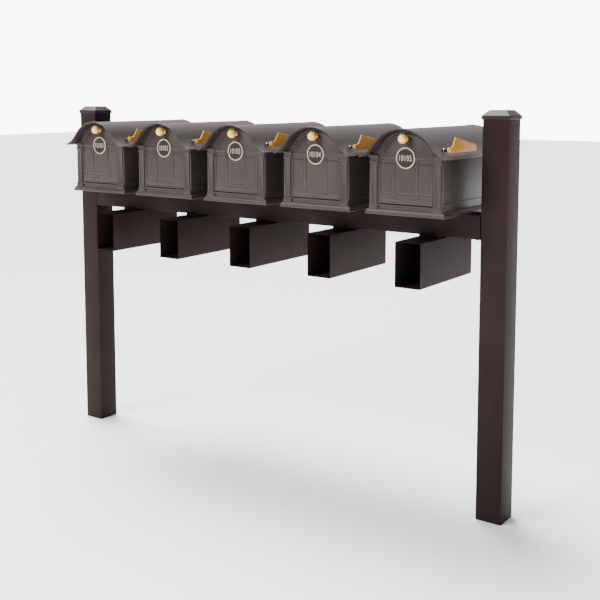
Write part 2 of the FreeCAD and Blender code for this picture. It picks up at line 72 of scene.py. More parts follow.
def layered(low, high, layers, corner=0.0, axis="Z"):
    # a rectangular form drawn up through layers of (inset, height), closed at both ends
    bm = bmesh.new()
    across, along, up = {"Z": (0, 1, 2), "Y": (2, 0, 1), "X": (1, 2, 0)}[axis]
    middle = [(low[i] + high[i]) / 2 for i in range(3)]
    half = [(high[i] - low[i]) / 2 for i in range(3)]
    corners = []
    for signAcross, signAlong in ((-1, -1), (1, -1), (1, 1), (-1, 1)):
        spot = Vector((0, 0, 0))
        spot[across] = middle[across] + signAcross * half[across]
        spot[along] = middle[along] + signAlong * half[along]
        corners.append(bm.verts.new(spot))
    face = bm.faces.new(corners)
    for step, (inset, height) in enumerate(layers):
        if step:
            grown = bmesh.ops.extrude_face_region(bm, geom=[face])["geom"]
            if step > 1:
                bmesh.ops.delete(bm, geom=[face], context="FACES_ONLY")
            face = [g for g in grown if isinstance(g, bmesh.types.BMFace)][0]
        for v in face.verts:
            for way in (across, along):
                v.co[way] = middle[way] + math.copysign(half[way] - inset, v.co[way] - middle[way])
            v.co[up] = low[up] + height
    bmesh.ops.recalc_face_normals(bm, faces=bm.faces)
    if corner:
        lengthwise = [e for e in bm.edges if abs(e.verts[0].co[up] - e.verts[1].co[up]) > 1e-6]
        soften(bm, corner, 3, lengthwise)
    return bm


def turned(profile, centre, axis, steps=48):
    # profile of (radius, distance along the axis), spun once round it
    bm = bmesh.new()
    direction = {"X": Vector((1, 0, 0)), "Y": Vector((0, 1, 0)), "Z": Vector((0, 0, 1))}[axis]
    outward = Vector((0, 0, 1)) if axis != "Z" else Vector((1, 0, 0))
    centre = Vector(centre)
    verts = [bm.verts.new(centre + direction * along + outward * radius) for radius, along in profile]
    edges = [bm.edges.new(pair) for pair in zip(verts, verts[1:])]
    bmesh.ops.spin(bm, geom=verts + edges, cent=centre, axis=direction, dvec=(0, 0, 0),
                   angle=math.tau, steps=steps, use_merge=True)
    bmesh.ops.remove_doubles(bm, verts=bm.verts, dist=1e-6)
    bmesh.ops.holes_fill(bm, edges=bm.edges, sides=0)
    bmesh.ops.recalc_face_normals(bm, faces=bm.faces)
    return bm


def drawOut(bm, faces, step):
    # extrudes the faces and carries the new ones along by a step
    grown = bmesh.ops.extrude_face_region(bm, geom=faces)["geom"]
    verts = [g for g in grown if isinstance(g, bmesh.types.BMVert)]
    bmesh.ops.translate(bm, vec=step, verts=verts)
    bmesh.ops.recalc_face_normals(bm, faces=bm.faces)


def drawLoop(bm, points, y):
    verts = [bm.verts.new((x, y, z)) for x, z in points]
    return [bm.edges.new((a, b)) for a, b in zip(verts, verts[1:] + verts[:1])]


def plate(points, yFront, yBack, width=0.0006, segments=2):
    # an outline in the XZ plane given a thickness along Y
    bm = bmesh.new()
    verts = [bm.verts.new((x, yFront, z)) for x, z in points]
    drawOut(bm, [bm.faces.new(verts)], (0, yBack - yFront, 0))
    if width:
        soften(bm, width, segments)
    return bm


def ring(outer, inner, yFront, yBack, width=0.0006, segments=2):
    # the flat band between two outlines, given a thickness along Y
    bm = bmesh.new()
    edges = drawLoop(bm, outer, yFront) + drawLoop(bm, inner, yFront)
    bmesh.ops.bridge_loops(bm, edges=edges)
    drawOut(bm, list(bm.faces), (0, yBack - yFront, 0))
    if width:
        soften(bm, width, segments)
    return bm


def makePiece(name, lumps, body, material, replaced=()):
    whole = bmesh.new()
    for lump in lumps:
        part = bpy.data.meshes.new("lump")
        lump.to_mesh(part)
        lump.free()
        whole.from_mesh(part)
        bpy.data.meshes.remove(part)
    mesh = bpy.data.meshes.new(name)
    whole.to_mesh(mesh)
    whole.free()
    for polygon in mesh.polygons:
        polygon.use_smooth = True
    mesh.set_sharp_from_angle(angle=sharpAngle)
    piece = bpy.data.objects.new(name, mesh)
    bpy.context.scene.collection.objects.link(piece)
    piece.data.materials.append(material)
    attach(piece, body)
    if replaced:
        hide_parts(*replaced)
    return piece


# materials

class Wire:
    # one socket, with the arithmetic that adds its Math nodes
    def __init__(self, paint, socket):
        self.paint = paint
        self.socket = socket

    def maths(self, operation, first, second):
        return self.paint.node("ShaderNodeMath", {"operation": operation}, {0: first, 1: second})

    def __add__(self, other):
        return self.maths("ADD", self, other)

    def __radd__(self, other):
        return self.maths("ADD", other, self)

    def __sub__(self, other):
        return self.maths("SUBTRACT", self, other)

    def __rsub__(self, other):
        return self.maths("SUBTRACT", other, self)

    def __mul__(self, other):
        return self.maths("MULTIPLY", self, other)

    def __rmul__(self, other):
        return self.maths("MULTIPLY", other, self)


class Paint:
    # the nodes of a material or a world, all made by one method
    def __init__(self, holder):
        self.holder = holder
        self.holder.use_nodes = True
        self.tree = self.holder.node_tree
        self.tree.nodes.clear()

    def node(self, kind, settings=None, values=None, output=0):
        made = self.tree.nodes.new(kind)
        for key, setting in (settings or {}).items():
            if key == "stops":
                self.setStops(made.color_ramp, setting)
            else:
                setattr(made, key, setting)
        for key, value in (values or {}).items():
            if isinstance(value, Wire):
                self.tree.links.new(value.socket, made.inputs[key])
            else:
                made.inputs[key].default_value = value
        return Wire(self, made.outputs[output])

    def setStops(self, ramp, stops):
        while len(ramp.elements) < len(stops):
            ramp.elements.new(0.5)
        for element, (place, shade) in zip(ramp.elements, stops):
            element.position = place
            element.color = (shade, shade, shade, 1) if isinstance(shade, float) else (*shade, 1)

    def objectPoint(self):
        return self.node("ShaderNodeTexCoord", output="Object")

    def noise(self, point, scale, detail=3.0, roughness=0.5):
        return self.node("ShaderNodeTexNoise", {}, {
            "Vector": point, "Scale": scale, "Detail": detail, "Roughness": roughness})

    def ramp(self, wire, stops):
        return self.node("ShaderNodeValToRGB", {"stops": stops}, {0: wire})

    def edgeWearAndHighlightMask(self, radius):
        # rises where the surface turns sharply: edge wear on the powder coat, and on the gold enamel a
        # painted highlight along the flag's edges
        rounded = self.node("ShaderNodeBevel", {"samples": 4}, {"Radius": radius})
        plain = self.node("ShaderNodeNewGeometry", output="Normal")
        match = self.node("ShaderNodeVectorMath", {"operation": "DOT_PRODUCT"}, {0: rounded, 1: plain},
                          output="Value")
        return self.ramp(1.0 - match, [(0.02, 0.0), (0.16, 1.0)])

    def blend(self, factor, first, second, kind="MIX"):
        return self.node("ShaderNodeMix", {"data_type": "RGBA", "blend_type": kind},
                         {0: factor, 6: first, 7: second}, output=2)

    def finishWith(self, values, bump=None, strength=0.1, distance=0.0003):
        if bump is not None:
            values["Normal"] = self.node("ShaderNodeBump", {}, {
                "Strength": strength, "Distance": distance, "Height": bump})
        surface = self.node("ShaderNodeBsdfPrincipled", {}, values)
        output = self.tree.nodes.new("ShaderNodeOutputMaterial")
        self.tree.links.new(surface.socket, output.inputs["Surface"])
        return self.holder


boxLook = {
    "colour": (0.0255, 0.0174, 0.0157), "lighter": (0.0320, 0.0230, 0.0208), "dust": (0.07, 0.058, 0.052),
    "peelScale": 620.0, "cloudScale": 5.0, "streakScale": 26.0, "rough": 0.42, "roughSpread": 0.10,
    "gloss": 0.30, "bump": 0.16, "depth": 0.00016,
    "edgeWearAndHighlight": (0.105, 0.088, 0.080), "edgeWearAndHighlightWidth": 0.0016, "rubbedMost": 0.55,
}
postLook = dict(boxLook, colour=(0.0175, 0.0098, 0.0090), lighter=(0.022, 0.0130, 0.0120),
                dust=(0.04, 0.031, 0.028), rough=0.50, gloss=0.06, edgeWearAndHighlight=(0.062, 0.046, 0.042))
# the caps get the post coat with a lighter colour, a painted highlight for the light their sloping tops
# catch; the higher gloss is the coat's finish
capPaintedHighlightLook = dict(postLook, colour=(0.0190, 0.0125, 0.0116), lighter=(0.025, 0.0170, 0.0158),
               rough=0.46, gloss=0.14)


def powderCoat(name, look):
    paint = Paint(bpy.data.materials.new(name))
    point = paint.objectPoint()
    clouds = paint.noise(point, look["cloudScale"], 4.0)
    grain = paint.noise(point, look["peelScale"], 2.0, 0.6)
    stretched = paint.node("ShaderNodeMapping", {}, {"Vector": point, "Scale": (1.0, 1.0, 0.12)})
    streaks = paint.noise(stretched, look["streakScale"], 5.0, 0.65)
    cloudy = paint.ramp(clouds, [(0.35, 0.0), (0.68, 1.0)])
    tone = paint.blend(cloudy, (*look["colour"], 1), (*look["lighter"], 1))
    dusty = paint.ramp(streaks, [(0.56, 0.0), (0.78, 1.0)])
    dusted = paint.blend(dusty * 0.16, tone, (*look["dust"], 1))
    edgeWearAndHighlight = paint.edgeWearAndHighlightMask(look["edgeWearAndHighlightWidth"]) * look["rubbedMost"]
    colour = paint.blend(edgeWearAndHighlight, dusted, (*look["edgeWearAndHighlight"], 1))
    rough = clouds * look["roughSpread"] + grain * 0.06 + (look["rough"] - 0.08)
    return paint.finishWith({"Base Color": colour, "Roughness": rough, "Specular IOR Level": look["gloss"]},
                            grain + clouds * 0.4, look["bump"], look["depth"])


brassLook = {
    "colour": (1.0, 0.60, 0.14), "deep": (0.92, 0.49, 0.09), "rough": 0.34, "spots": 90.0, "brush": 420.0,
    "metal": 0.35, "gloss": 0.35,
}


def polishedBrass(name, look=brassLook):
    paint = Paint(bpy.data.materials.new(name))
    point = paint.objectPoint()
    patches = paint.noise(point, look["spots"], 4.0)
    fine = paint.noise(point, look["brush"], 2.0, 0.7)
    patchy = paint.ramp(patches, [(0.42, 0.0), (0.75, 1.0)])
    colour = paint.blend(patchy, (*look["colour"], 1), (*look["deep"], 1))
    rough = patches * 0.16 + fine * 0.08 + (look["rough"] - 0.08)
    values = {"Base Color": colour, "Roughness": rough,
              "Metallic": look["metal"], "Specular IOR Level": look["gloss"]}
    return paint.finishWith(values, fine, 0.05, 0.0001)


# the pale gold edge colour is a painted highlight, standing in for the light the flag's bevelled edges catch
enamelLook = {
    "colour": (0.52, 0.21, 0.028), "lighter": (0.64, 0.29, 0.048), "rough": 0.38,
    "clouds": 18.0, "grain": 700.0, "edgeWearAndHighlight": (0.95, 0.66, 0.28), "edgeWearAndHighlightWidth": 0.0022,
    "metal": 0.3, "gloss": 0.2, "coat": 0.06,
}


def goldEnamel(name, look=enamelLook):
    paint = Paint(bpy.data.materials.new(name))
    point = paint.objectPoint()
    clouds = paint.noise(point, look["clouds"], 4.0)
    grain = paint.noise(point, look["grain"], 2.0, 0.6)
    tone = paint.blend(clouds, (*look["colour"], 1), (*look["lighter"], 1))
    # the flag's sharp edges are painted pale gold: a painted highlight
    colour = paint.blend(paint.edgeWearAndHighlightMask(look["edgeWearAndHighlightWidth"]), tone, (*look["edgeWearAndHighlight"], 1))
    rough = clouds * 0.14 + (look["rough"] - 0.07)
    values = {"Base Color": colour, "Roughness": rough, "Coat Weight": look["coat"],
              "Metallic": look["metal"], "Specular IOR Level": look["gloss"]}
    return paint.finishWith(values, grain, 0.10, 0.00012)


def plainEnamel(name, colour, lighter, rough=0.4, gloss=0.5):
    paint = Paint(bpy.data.materials.new(name))
    point = paint.objectPoint()
    clouds = paint.noise(point, 60.0, 4.0)
    grain = paint.noise(point, 900.0, 2.0)
    tone = paint.blend(clouds, (*colour, 1), (*lighter, 1))
    values = {"Base Color": tone, "Roughness": clouds * 0.2 + (rough - 0.1), "Specular IOR Level": gloss}
    return paint.finishWith(values, grain, 0.08, 0.0001)


def steel(name, colour=(0.55, 0.55, 0.56), rough=0.32):
    paint = Paint(bpy.data.materials.new(name))
    point = paint.objectPoint()
    stretched = paint.node("ShaderNodeMapping", {}, {"Vector": point, "Scale": (0.05, 1.0, 1.0)})
    lines = paint.noise(stretched, 900.0, 3.0)
    clouds = paint.noise(point, 40.0, 3.0)
    tone = paint.blend(clouds, (*colour, 1), (*[c * 0.8 for c in colour], 1))
    return paint.finishWith({"Base Color": tone, "Roughness": lines * 0.2 + (rough - 0.1), "Metallic": 1.0},
                            lines, 0.06, 0.0001)


def paleFloor(name):
    paint = Paint(bpy.data.materials.new(name))
    clouds = paint.noise(paint.objectPoint(), 1.2, 3.0)
    tone = paint.blend(clouds, (0.90, 0.90, 0.90, 1), (0.93, 0.93, 0.93, 1))
    return paint.finishWith({"Base Color": tone, "Roughness": clouds * 0.1 + 0.75})


bronze = powderCoat("bronzeBoxCoat", boxLook)
darkBronze = powderCoat("bronzePostCoat", postLook)
capPaintedHighlightBronze = powderCoat("bronzeCapCoatPaintedHighlight", capPaintedHighlightLook)
brass = polishedBrass("polishedBrass")
gold = goldEnamel("goldEnamel")
plaqueField = plainEnamel("plaqueField", (0.016, 0.0135, 0.0085), (0.024, 0.021, 0.0145), 0.45, 0.12)
cream = plainEnamel("creamEnamel", (0.33, 0.285, 0.215), (0.42, 0.375, 0.30), 0.42)
pinSteel = steel("stainlessPin")
darkSteel = steel("ferrite", (0.10, 0.10, 0.11), 0.5)
plateBlack = plainEnamel("blackPaint", (0.035, 0.032, 0.032), (0.05, 0.047, 0.046), 0.5)
print("materials made")


# posts, caps and beam

postShape = {"corner": 0.003, "wall": 0.0032, "plugDepth": 0.004}


def makePost(side):
    low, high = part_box(f"{side}_post")
    wall = postShape["wall"]
    tall = high.z - low.z
    layers = [(wall, tall - postShape["plugDepth"]), (wall, 0), (0, 0), (0, tall)]
    lump = layered(low, high, layers, postShape["corner"])
    return makePiece(f"{side}Post", [lump], "stand", darkBronze, [f"{side}_post"])


capShape = {"lip": 0.0028, "skirt": 0.016, "flat": 0.0208, "socket": 0.0037, "plate": 0.002}


def makeCap(side):
    low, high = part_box(f"{side}_post_cap")
    rise = high.z - low.z
    skirt = capShape["skirt"]
    lip = capShape["lip"]
    inside = capShape["socket"]
    layers = [
        (inside, skirt - capShape["plate"]), (inside, 0), (0.0008, 0), (0, 0.0012), (0, skirt - lip),
        (lip * 0.13, skirt - lip * 0.5), (lip * 0.5, skirt - lip * 0.1), (lip, skirt + lip * 0.12),
        (capShape["flat"] - 0.001, rise - 0.0006), (capShape["flat"], rise),
    ]
    lump = layered(low, high, layers, 0.0022)
    return makePiece(f"{side}PostCap", [lump], "stand", capPaintedHighlightBronze, [f"{side}_post_cap"])


beamShape = {"corner": 0.0028, "wall": 0.0032}


def makeBeam():
    low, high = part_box("crossbeam")
    wall = beamShape["wall"]
    length = high.x - low.x
    layers = [(wall, length / 2), (wall, 0), (0, 0), (0, length), (wall, length), (wall, length / 2 + 0.001)]
    lump = layered(low, high, layers, beamShape["corner"], "X")
    return makePiece("crossBeam", [lump], "stand", darkBronze, ["crossbeam"])


for sideName in ("left", "right"):
    makePost(sideName)
    makeCap(sideName)
makeBeam()
print("stand made")


# mailbox roof and walls

roofShape = {
    "radius": 0.139, "flareRadius": 0.139, "flareAngle": 53.8, "wall": 0.005, "skin": 0.0014,
    "rim": 0.007, "sideWall": 0.003, "ribLow": 0.046, "ribHigh": 0.052, "ribProud": 0.002, "steps": 26,
}


def arcPoints(centre, radius, first, last, steps):
    return [
        (centre[0] + radius * math.cos(first + (last - first) * k / steps),
         centre[1] + radius * math.sin(first + (last - first) * k / steps))
        for k in range(steps + 1)
    ]


def roofLine(middle, apex, inset, halfWidth):
    # the ogee from its right end over the ridge to its left end
    steps = roofShape["steps"]
    radius = roofShape["radius"] - inset
    flare = roofShape["flareRadius"] + inset
    reach = roofShape["radius"] + roofShape["flareRadius"]
    angle = math.radians(roofShape["flareAngle"])
    spring = apex - roofShape["radius"]
    flareX = reach * math.sin(angle)
    flareZ = spring + reach * math.cos(angle)
    endAngle = math.pi + math.acos((flareX - halfWidth) / flare)
    jointAngle = math.pi * 1.5 - angle
    right = arcPoints((flareX, flareZ), flare, endAngle, jointAngle, steps // 2)
    top = arcPoints((0, spring), radius, math.pi / 2 - angle, math.pi / 2 + angle, steps * 2)
    left = [(-x, z) for x, z in reversed(right)]
    return [(middle + x, z) for x, z in right[:-1] + top + left[1:]]


def skinStrip(middle, apex, stations, halfWidth, wall):
    # rows of the ogee at (y, inset), bridged into a strip, then given the roof's thickness
    bm = bmesh.new()
    rows = []
    for y, inset in stations:
        verts = [bm.verts.new((x, y, z)) for x, z in roofLine(middle, apex, inset, halfWidth - inset * 0.3)]
        rows.append([bm.edges.new(pair) for pair in zip(verts, verts[1:])])
    for before, after in zip(rows, rows[1:]):
        bmesh.ops.bridge_loops(bm, edges=before + after)
    bmesh.ops.recalc_face_normals(bm, faces=bm.faces)
    ridge = max(bm.faces, key=lambda f: f.calc_center_median().z)
    if ridge.normal.z < 0:
        bmesh.ops.reverse_faces(bm, faces=bm.faces)
    bmesh.ops.solidify(bm, geom=list(bm.faces), thickness=wall)
    bmesh.ops.recalc_face_normals(bm, faces=bm.faces)
    return bm


def makeHousing(n):
    low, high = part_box(f"housing_{n}")
    frameLow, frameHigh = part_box(f"front_frame_{n}")
    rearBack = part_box(f"rear_panel_{n}")[1].y
    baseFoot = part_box(f"base_{n}")[0].z
    middle = (low.x + high.x) / 2
    rim = roofShape["rim"]
    skin = roofShape["skin"]
    wall = roofShape["wall"]
    edge = [(0, 0.0014), (0.0006, 0.0005), (0.0016, 0.0), (rim, 0.0), (rim + 0.0009, skin)]
    stations = [(low.y + along, inset) for along, inset in edge]
    stations += [(high.y - along, inset) for along, inset in reversed(edge)]
    lumps = [skinStrip(middle, high.z, stations, (high.x - low.x) / 2, wall - skin)]
    wallTop = roofLine(middle, high.z, wall * 0.5, (frameHigh.x - frameLow.x) / 2)[0][1]
    yFront = frameHigh.y
    outer = frameHigh.x - middle
    inner = outer - roofShape["sideWall"]
    rib = outer + roofShape["ribProud"]
    for side in (-1, 1):
        xs = sorted((middle + side * inner, middle + side * outer))
        lumps.append(block((xs[0], yFront, low.z), (xs[1], rearBack, wallTop), 0.0004))
        xs = sorted((middle + side * (outer - 0.001), middle + side * rib))
        lumps.append(block((xs[0], yFront, baseFoot + roofShape["ribLow"]),
                           (xs[1], rearBack, baseFoot + roofShape["ribHigh"]), 0.0009, 3))
    return makePiece(f"mailboxShell{n}", lumps, "stand", bronze, [f"housing_{n}"])


# base with its moulded edge

baseShape = {"lip": 0.006, "hollow": 0.006, "seat": 0.0115, "floor": 0.010}


def makeBase(n):
    low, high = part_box(f"base_{n}")
    seat = baseShape["seat"]
    layers = [
        (baseShape["lip"], baseShape["hollow"]), (baseShape["lip"], 0), (0.0010, 0), (0.0, 0.0010),
        (0.0, 0.0096), (0.0006, 0.0104), (0.0016, 0.0108),                      # the straight lip
        (0.0024, 0.0112), (0.0030, 0.0122), (0.0034, 0.0140), (0.0042, 0.0160), (0.0056, 0.0176),
        (0.0066, 0.0182), (0.0070, 0.0190), (0.0076, 0.0197), (0.0086, 0.0200),
        (seat, 0.0200), (seat, baseShape["floor"]),
    ]
    lump = layered(low, high, layers)
    return makePiece(f"mailboxBase{n}", [lump], "stand", bronze, [f"base_{n}"])


# front surround: plate, pilasters, capitals, sill

surroundShape = {
    "plate": 0.006, "jamb": 0.039, "sill": 0.018, "base": 0.020,
    "sillRidge": 0.006, "sillProud": 0.0046, "riserTop": 0.009, "riserProud": 0.0015, "plinthTop": 0.004,
    "pilasterProud": 0.004, "capProud": 0.007, "capHeight": 0.030, "inset": 0.0065, "gap": 0.0003,
    "archSteps": 40, "archWidth": 0.0075, "archFoot": 0.002, "archProud": 0.0022, "archGap": 0.0004,
}


def archLine(middle, half, spring, low, steps):
    return [(middle - half, low), (middle + half, low)] + [
        (middle + x, spring + z) for x, z in arcPoints((0, 0), half, 0, math.pi, steps)]


def makeSurround(n):
    low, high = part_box(f"front_frame_{n}")
    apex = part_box(f"housing_{n}")[1].z
    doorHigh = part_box(f"door_{n}")[1]
    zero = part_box(f"base_{n}")[0].z
    s = surroundShape
    middle = (low.x + high.x) / 2
    half = (high.x - low.x) / 2
    face = high.y - s["plate"]
    opening = half - s["jamb"]
    spring = doorHigh.z - (doorHigh.x - middle)        # where the doorway's arch begins
    sillTop = zero + s["base"] + s["sill"]
    inset = roofShape["wall"] + s["gap"]
    outer = [(middle - half, low.z), (middle + half, low.z)] + roofLine(middle, apex, inset, half)
    inner = archLine(middle, opening, spring, sillTop, s["archSteps"])
    lumps = [ring(outer, inner, face, high.y, 0.0005)]
    foot = spring - s["archFoot"]
    arches = []
    for radius in (opening + s["archWidth"], opening + s["archGap"]):
        arc = arcPoints((middle, spring), radius, 0, math.pi, s["archSteps"])
        arches.append(arc + [(middle - radius, foot), (middle + radius, foot)])
    lumps.append(ring(arches[0], arches[1], face - s["archProud"], face + 0.001, 0.0008, 3))
    capLow = spring - 0.0012
    top = capLow + s["capHeight"]
    for side in (-1, 1):
        a, b = sorted((middle + side * opening, middle + side * half))
        near, far = a + s["inset"], b - s["inset"]
        proud = face - s["pilasterProud"]
        lumps.append(makePilaster(near, far, proud, face, zero + s["base"], capLow))
        # capital from the top slab down: (side inset, proud, from, to, rounding)
        for inward, proudness, start, end, rounding in (
                (0.0, s["capProud"], top - 0.0095, top, 0.0012),
                (0.0022, 0.0052, top - 0.0130, top - 0.0090, 0.0012),
                (0.0045, 0.0040, capLow + 0.0095, top - 0.0125, 0.0004),
                (0.0014, 0.0060, capLow, capLow + 0.0100, 0.0018)):
            lumps.append(block((a + inward, face - proudness, start), (b - inward, face, end), rounding, 3))
        lumps.append(block((a + 0.0008, face - 0.0062, zero + s["base"]),
                           (b - 0.0008, face, sillTop - s["plinthTop"]), 0.0008, 3))
    lumps.append(block((middle - half, face - s["sillProud"], sillTop - s["sillRidge"]),
                       (middle + half, face + 0.001, sillTop), 0.0014, 3))
    lumps.append(block((middle - half, face - s["riserProud"], zero + s["base"]),
                       (middle + half, face + 0.001, sillTop - s["riserTop"]), 0.0006, 2))
    return makePiece(f"doorSurround{n}", lumps, "stand", bronze, [f"front_frame_{n}"])


def makePilaster(near, far, proud, face, low, high):
    # a flat shaft whose front has a long sunk panel
    bm = block((near, proud, low), (far, face, high), 0)
    front = min(bm.faces, key=lambda f: f.calc_center_median().y)
    bmesh.ops.inset_region(bm, faces=[front], thickness=0.0055, depth=0)
    bmesh.ops.inset_region(bm, faces=[front], thickness=0.0012, depth=-0.0016)
    return soften(bm, 0.0005, 2)


# door leaf, knob and plaque

leafShape = {
    "thick": 0.005, "sunk": 0.0018, "border": 0.0065, "stile": 0.008, "centrePanel": 0.086,
    "barrel": 0.0045, "panelLow": 0.031, "bandLow": 0.0045, "railLow": 0.159, "railHigh": 0.168,
    "fieldMargin": 0.005,
}


def makeDoor(n):
    low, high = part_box(f"door_{n}")
    s = leafShape
    middle = (low.x + high.x) / 2
    half = (high.x - low.x) / 2
    hingeZ = low.z + s["barrel"]
    hingeY = low.y + s["barrel"]
    front = hingeY - s["thick"] / 2
    back = hingeY + s["thick"] / 2
    spring = high.z - half
    sunk = front + s["sunk"]
    outline = archLine(middle, half, spring, hingeZ, 44)
    inside = archLine(middle, half - s["border"], spring, hingeZ + s["panelLow"], 44)
    lumps = [
        plate(outline, sunk, back, 0.0004),
        ring(outline, inside, front, sunk + 0.0006, 0.0009, 3),
        turned([(0, 0), (s["barrel"], 0), (s["barrel"], half * 2), (0, half * 2)],
               (middle - half, hingeY, hingeZ), "X", 24),
    ]
    panelLow = hingeZ + s["panelLow"]
    railLow = hingeZ + s["railLow"]
    railHigh = hingeZ + s["railHigh"]
    stileIn = s["centrePanel"] / 2
    stileOut = stileIn + s["stile"]
    for side in (-1, 1):
        a, b = sorted((middle + side * stileIn, middle + side * stileOut))
        lumps.append(block((a, front, panelLow - 0.001), (b, sunk + 0.0006, railLow + 0.001), 0.0009, 3))
    edge = half - 0.0035
    # the rails across the leaf: (from, to, how proud, rounding, steps in the rounding)
    bandLow = hingeZ + s["bandLow"]
    for start, end, proud, rounding, steps in (
            (railLow, railHigh, 0.0008, 0.0016, 4),
            (panelLow - 0.0045, panelLow - 0.0005, 0.0006, 0.0012, 3),
            (bandLow - 0.0005, bandLow + 0.0028, 0.0004, 0.0009, 3)):
        lumps.append(block((middle - edge, front - proud, start),
                           (middle + edge, sunk + 0.0006, end), rounding, steps))
    margin = s["fieldMargin"]
    for left, right in ((s["border"] - half, -stileOut), (-stileIn, stileIn), (stileOut, half - s["border"])):
        lumps.append(fieldPanel((middle + left + margin, panelLow + margin),
                                (middle + right - margin, railLow - margin), sunk, 0.0009))
    lumps.append(makeScroll((middle, hingeZ + s["panelLow"] * 0.53), front + 0.0003))
    return makePiece(f"doorLeaf{n}", lumps, f"door_{n}", bronze, [f"door_{n}"])


scrollShape = {"wide": 0.122, "high": 0.0185, "bead": 0.0015, "drawnBead": 0.02, "turns": 1.6, "steps": 44}


def makeScroll(middle, y):
    # a low relief of scrolls, the same on both sides of a small boss
    s = scrollShape
    curve = bpy.data.curves.new("scroll", "CURVE")
    curve.dimensions = "3D"
    curve.bevel_depth = s["drawnBead"]
    curve.bevel_resolution = 1
    paths = []
    for side in (-1, 1):
        for centre, radius, start in ((0.30, 0.13, math.pi), (0.62, 0.10, 0.0), (0.86, 0.07, math.pi)):
            path = []
            for k in range(s["steps"]):
                t = k / (s["steps"] - 1)
                angle = start + side * math.tau * s["turns"] * t
                reach = radius * (1 - 0.8 * t)
                path.append((side * centre + reach * math.cos(angle), reach * math.sin(angle)))
            paths.append(path)
        stem = [k / 40 for k in range(41)]
        paths.append([(side * (0.08 + 0.9 * t), 0.035 * math.sin(t * 9) - 0.02) for t in stem])
    for path in paths:
        spline = curve.splines.new("POLY")
        spline.points.add(len(path) - 1)
        for point, (across, upward) in zip(spline.points, path):
            point.co = (across, upward, 0, 1)
    lump = liftedCurve(curve, middle, y, (s["wide"], s["high"]))
    for v in lump.verts:
        v.co.y = y + (v.co.y - y) * s["bead"] / s["drawnBead"]
    return lump


def fieldPanel(low, high, y, proud):
    # a panel's raised middle, with sloping shoulders
    bm = block((low[0], y - proud, low[1]), (high[0], y + 0.0004, high[1]), 0)
    face = min(bm.faces, key=lambda f: f.calc_center_median().y)
    return soften(bm, proud * 0.9, 2, list(face.edges))


knobShape = {"ball": 0.0175, "neck": 0.0058, "foot": 0.010, "nut": 0.006}


def makeKnob(n):
    low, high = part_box(f"knob_{n}")
    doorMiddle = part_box(f"door_{n}")[0].y + leafShape["barrel"]
    s = knobShape
    centre = ((low.x + high.x) / 2, 0, (low.z + high.z) / 2)
    front = low.y
    ball = s["ball"]
    face = doorMiddle - leafShape["thick"] / 2
    ballY = front + ball
    profile = [(0, front + 0.0016), (0.0042, front + 0.0014),
               (0.0052, front + 0.0008), (0.0062, front + 0.0013)]      # the dimple
    start = math.asin(0.0068 / ball)
    for k in range(19):
        angle = start + (math.radians(158) - start) * k / 18
        profile.append((ball * math.sin(angle), ballY - ball * math.cos(angle)))
    profile += [
        (s["neck"], face - 0.0055), (s["neck"], face - 0.0046), (0.0075, face - 0.0036),
        (s["foot"] - 0.0008, face - 0.0030), (s["foot"], face - 0.0022), (s["foot"], face + 0.0001),
        (0, face + 0.0001)]
    lumps = [turned(profile, centre, "Y", 56)]
    back = doorMiddle + leafShape["thick"] / 2
    nut = s["nut"]
    lumps.append(turned([(0, back), (nut, back), (nut, high.y - 0.0008), (nut - 0.0008, high.y), (0, high.y)],
                        centre, "Y", 6))
    return makePiece(f"doorKnob{n}", lumps, f"door_{n}", brass, [f"knob_{n}"])


plaqueShape = {
    "rim": 0.0045, "digitHeight": 0.021, "digitsWide": 0.050, "digitProud": 0.0007, "firstNumber": 10101,
    "fieldSunk": 0.0011,
}


def liftedCurve(curve, middle, y, size):
    # a flat drawn curve turned into a mesh that stands in the XZ plane, centred and scaled to its size
    drawn = bpy.data.objects.new("draft", curve)
    bpy.context.scene.collection.objects.link(drawn)
    bpy.context.view_layer.update()
    mesh = bpy.data.meshes.new_from_object(drawn)
    bpy.data.objects.remove(drawn)
    lump = bmesh.new()
    lump.from_mesh(mesh)
    bpy.data.meshes.remove(mesh)
    bmesh.ops.remove_doubles(lump, verts=lump.verts, dist=1e-6)
    xs = [v.co.x for v in lump.verts]
    ys = [v.co.y for v in lump.verts]
    for v in lump.verts:
        across = (v.co.x - (min(xs) + max(xs)) / 2) * size[0] / (max(xs) - min(xs))
        upward = (v.co.y - (min(ys) + max(ys)) / 2) * size[1] / (max(ys) - min(ys))
        v.co = (middle[0] + across, y - v.co.z, middle[1] + upward)
    bmesh.ops.recalc_face_normals(lump, faces=lump.faces)
    return lump


def makePlaque(n):
    s = plaqueShape
    low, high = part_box(f"number_plaque_{n}")
    radius = (high.x - low.x) / 2
    middle = ((low.x + high.x) / 2, (low.z + high.z) / 2)
    centre = (middle[0], 0, middle[1])
    front, back = low.y, high.y
    body = f"door_{n}"
    inner = radius - s["rim"]
    field = front + s["fieldSunk"]
    disc = turned([(0, field), (inner, field), (inner + 0.0004, back), (0, back)], centre, "Y", 64)
    makePiece(f"plaqueField{n}", [disc], body, plaqueField, [f"number_plaque_{n}"])
    edge = turned([
        (inner, back), (inner, front + 0.0010), (inner + 0.0005, front + 0.0003), (inner + 0.0013, front),
        (radius - 0.0016, front), (radius - 0.0008, front + 0.0003), (radius - 0.0004, front + 0.001),
        (radius, front + 0.0018), (radius, back), (inner, back)], centre, "Y", 72)
    makePiece(f"plaqueRim{n}", [edge], body, cream)
    letters = bpy.data.curves.new(f"digits{n}", "FONT")
    letters.body = str(s["firstNumber"] + n - 1)
    letters.extrude = s["digitProud"] / 2
    letters.resolution_u = 5
    letters.space_character = 1.12
    digitFront = field - s["digitProud"] / 2 + 0.0001
    digits = liftedCurve(letters, middle, digitFront, (s["digitsWide"], s["digitHeight"]))
    makePiece(f"plaqueDigits{n}", [digits], body, cream)


# flag and its pivot

